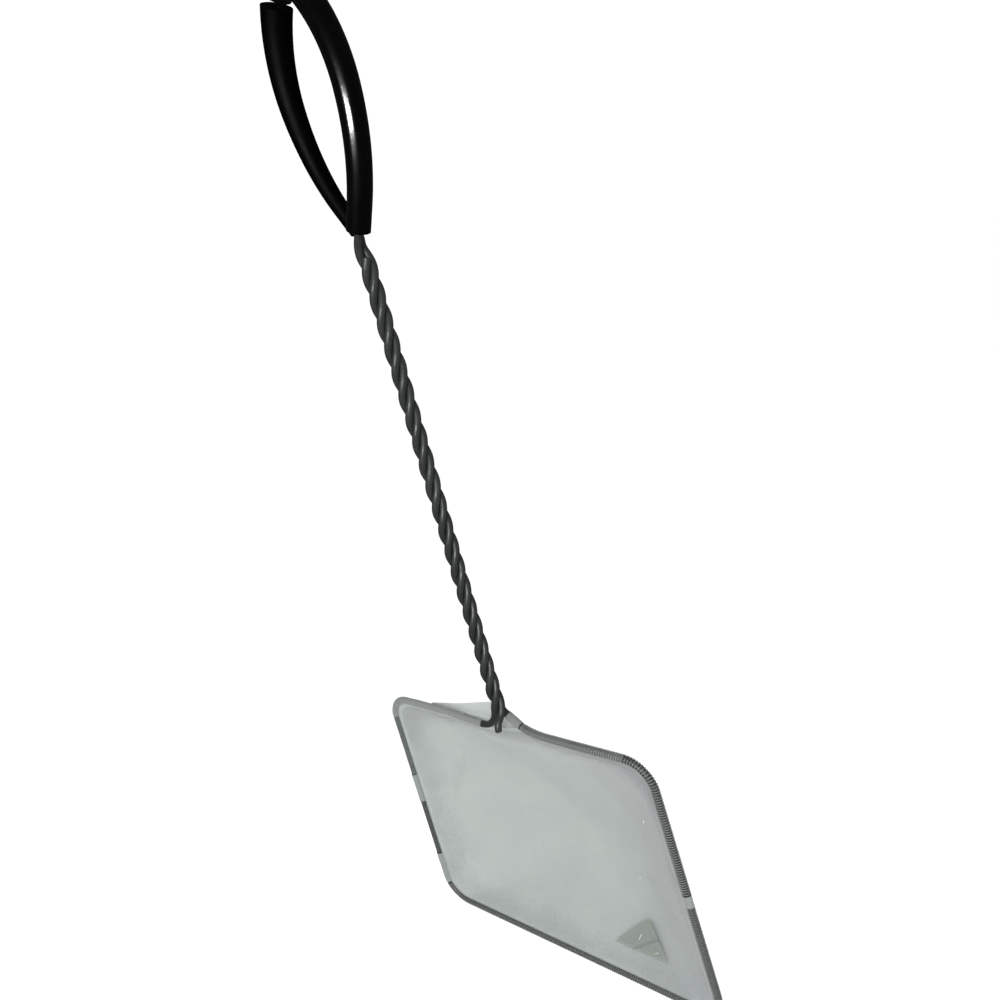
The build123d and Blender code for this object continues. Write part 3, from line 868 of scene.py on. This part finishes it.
corner_along = np.linspace(0, 1, patch_columns)[None, :, None]
corner_up = np.linspace(0, 1, patch_rows)[:, None, None]
corner_base = corner_left * (1 - corner_along) + corner_right * corner_along
corner_flat = corner_base * (1 - corner_up) + corner_tip * corner_up
corner_points = on_dish(corner_flat, patch_inset)
corner_cloth = corner_flat * patch_stretch
corner_patch = surface("corner_patch", corner_points, corner_cloth, corner_mesh, ("corner_flap",))
fold_share = np.linspace(0, 1, fold_points)[:, None]
fold_start = corner_left + (corner_right - corner_left) * fold_start_share
fold_end = corner_right + (corner_tip - corner_right) * fold_end_share
fold_line = on_dish(fold_start + (fold_end - fold_start) * fold_share, fold_inset)
corner_fold = round_thread("corner_fold", fold_line, fold_thickness, corner_mesh)
corner_stitches = [
    loose_stitch("corner_stitch_upper", 30.5 * MM, top_z - 91.6 * MM, 1.2, 1.6 * MM),
    loose_stitch("corner_stitch_lower", 38.4 * MM, top_z - 93.6 * MM, 0.5, 1.2 * MM),
]
bag_stitches = [
    loose_stitch("bag_stitch_upper", 45.2 * MM, top_z - 33.8 * MM, 1.3, 1.3 * MM),
    loose_stitch("bag_stitch_lower", 29.9 * MM, top_z - 71.4 * MM, 0.9, 1.1 * MM),
]


# Floor, light and camera

camera_place = Vector((0.20599, -0.17752, -0.067297))
camera_right = Vector((0.738202, 0.62687, -0.249183))
camera_down = Vector((0.024485, -0.394046, -0.918765))
camera_forward = Vector((-0.674135, 0.672132, -0.306234))
floor_z = -0.62
floor_white = 0.985
sky_in_reflections = 0.03


def studio_sweep(half_width, depth, height, bend):
    """Pale floor that bends up into a far wall: a line of floor, quarter arc and wall, carried sideways."""
    turn = np.linspace(0, np.pi / 2, 24)
    run = np.concatenate([[-depth], depth - bend + bend * np.sin(turn), [depth]])
    rise = np.concatenate([[0.0], bend - bend * np.cos(turn), [height]])
    sideways = np.linspace(-half_width, half_width, 3)
    level = Vector((camera_forward.x, camera_forward.y, 0)).normalized()
    beside = np.array([level.y, -level.x, 0])
    points = (
        run[:, None, None] * np.array(level)
        + rise[:, None, None] * np.array([0, 0, 1])
        + sideways[None, :, None] * beside
    )
    points[..., 2] += floor_z
    return points


floor_points = studio_sweep(half_width=4.0, depth=3.0, height=4.0, bend=1.0)
floor_mesh = bpy.data.meshes.new("studio_floor")
floor_rows, floor_columns = floor_points.shape[:2]
floor_row, floor_column = np.meshgrid(np.arange(floor_rows - 1), np.arange(floor_columns - 1), indexing="ij")
floor_corner = (floor_row * floor_columns + floor_column).reshape(-1)
floor_faces = np.stack(
    [floor_corner, floor_corner + floor_columns, floor_corner + floor_columns + 1, floor_corner + 1], -1
)
floor_mesh.from_pydata(floor_points.reshape(-1, 3).tolist(), [], floor_faces.tolist())
floor_mesh.polygons.foreach_set("use_smooth", np.ones(len(floor_mesh.polygons), bool))
floor_paint, _, _, floor_shader = new_material("studio floor")
floor_shader.inputs["Base Color"].default_value = (floor_white, floor_white, floor_white, 1)
floor_shader.inputs["Roughness"].default_value = 0.9
floor_shader.inputs["Specular IOR Level"].default_value = 0.0
floor_mesh.materials.append(floor_paint)
studio_floor = bpy.data.objects.new("studio_floor", floor_mesh)
bpy.context.scene.collection.objects.link(studio_floor)
studio_floor.visible_glossy = False

world = bpy.data.worlds.new("studio")
bpy.context.scene.world = world
world.use_nodes = True
sky_nodes, sky_links = world.node_tree.nodes, world.node_tree.links
sky = sky_nodes["Background"]
in_reflection = sky_nodes.new("ShaderNodeLightPath").outputs["Is Glossy Ray"]
sky_level = map_range(sky_nodes, sky_links, in_reflection, 0.0, 1.0, 1.0, sky_in_reflections)
sky.inputs["Color"].default_value = (1.0, 1.0, 1.0, 1)
sky_links.new(sky_level, sky.inputs["Strength"])


def soft_box(name, place, target, along, length, width, power, mirrored):
    """Rectangular soft light that faces a point, with its length along a direction. A mirrored one shows only in
    reflections, and any other lights only dull surfaces."""
    lamp = bpy.data.lights.new(name, "AREA")
    lamp.shape = "RECTANGLE"
    lamp.size = length
    lamp.size_y = width
    lamp.energy = power
    box = bpy.data.objects.new(name, lamp)
    bpy.context.scene.collection.objects.link(box)
    back = (Vector(place) - Vector(target)).normalized()
    side = (Vector(along) - back * back.dot(Vector(along))).normalized()
    up = back.cross(side)
    box.matrix_world = Matrix(
        (
            (side.x, up.x, back.x, place[0]),
            (side.y, up.y, back.y, place[1]),
            (side.z, up.z, back.z, place[2]),
            (0, 0, 0, 1),
        )
    )
    box.visible_glossy = mirrored
    box.visible_diffuse = not mirrored


soft_box(
    "strip_light",
    place=(0.22, -0.70, 0.0),
    target=(0.013, -0.001, -0.03),
    along=(1, 0.2, -0.15),
    length=0.45,
    width=0.10,
    power=7.0,
    mirrored=True,
)
soft_box(
    "fill_light",
    place=(0.5, -0.75, 0.22),
    target=(0, 0, -0.28),
    along=(1, 0, 0),
    length=0.6,
    width=0.6,
    power=10.0,
    mirrored=False,
)

camera_data = bpy.data.cameras.new("photo_camera")
camera_data.sensor_width = 36.0
camera_data.lens = 31.315
camera_data.clip_start = 0.005
camera_data.clip_end = 50.0
camera = bpy.data.objects.new("photo_camera", camera_data)
bpy.context.scene.collection.objects.link(camera)
camera.matrix_world = Matrix(
    (
        (camera_right.x, -camera_down.x, -camera_forward.x, camera_place.x),
        (camera_right.y, -camera_down.y, -camera_forward.y, camera_place.y),
        (camera_right.z, -camera_down.z, -camera_forward.z, camera_place.z),
        (0, 0, 0, 1),
    )
)
bpy.context.scene.camera = camera
bpy.context.scene.view_settings.view_transform = "Standard"
